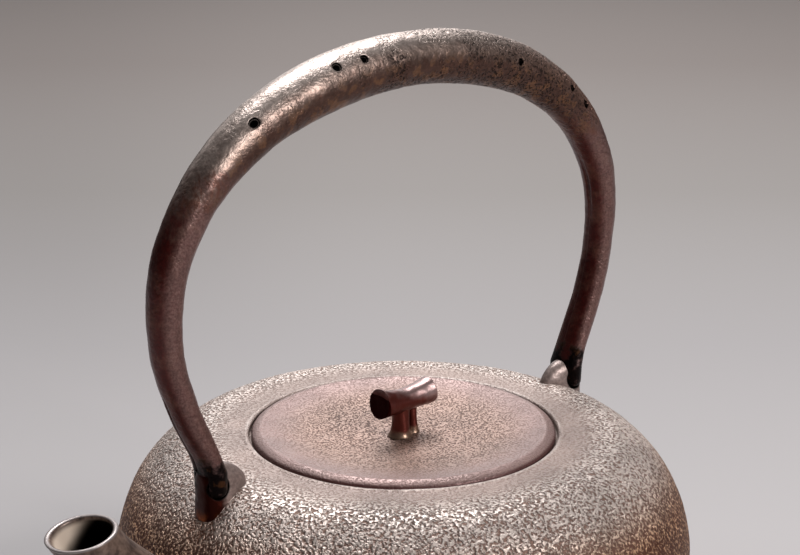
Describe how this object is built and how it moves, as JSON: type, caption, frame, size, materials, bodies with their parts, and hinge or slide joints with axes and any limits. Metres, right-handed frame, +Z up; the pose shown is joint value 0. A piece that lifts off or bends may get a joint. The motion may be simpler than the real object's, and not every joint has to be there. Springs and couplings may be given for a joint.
{
  "type": "tetsubin kettle",
  "caption": "Round cast-iron kettle with a short upswept spout, a drop-in lid with a branch-shaped knob, and a tall hollow arched handle hooked into pierced lugs.",
  "frame": {"origin": "centre of the flat base, on the surface that the kettle stands on", "axes": "+Z up along the body's axis, +X towards the spout, +Y across the handle's plane"},
  "size_m": [0.2142, 0.1728, 0.2216],
  "materials": {
    "body_iron": "wormy cast grain, brown-grey, satin",
    "spout_iron": "fine cast grain, brown-grey, satin",
    "lug_iron": "smooth grey cast iron, satin",
    "handle_iron": "forged, pitted, dark maroon with silver-grey highlights",
    "lid_iron": "fine cast grain, reddish brown, satin",
    "knob_iron": "smooth lacquered cast iron, dark maroon",
    "washer_iron": "plain dark iron, under the lid"
  },
  "bodies": {
    "kettle": {"kettle_body": "body_iron", "spout": "spout_iron", "front_lug": "lug_iron", "rear_lug": "lug_iron", "handle": "handle_iron"},
    "lid": {"lid": "lid_iron", "lid_knob": "knob_iron", "knob_washer": "washer_iron"}
  },
  "joints": [
    {"name": "lid_lift", "type": "slide", "parent": "kettle", "child": "lid", "axis": [0, 0, 1], "range_m": [0, 0.06]}
  ]
}
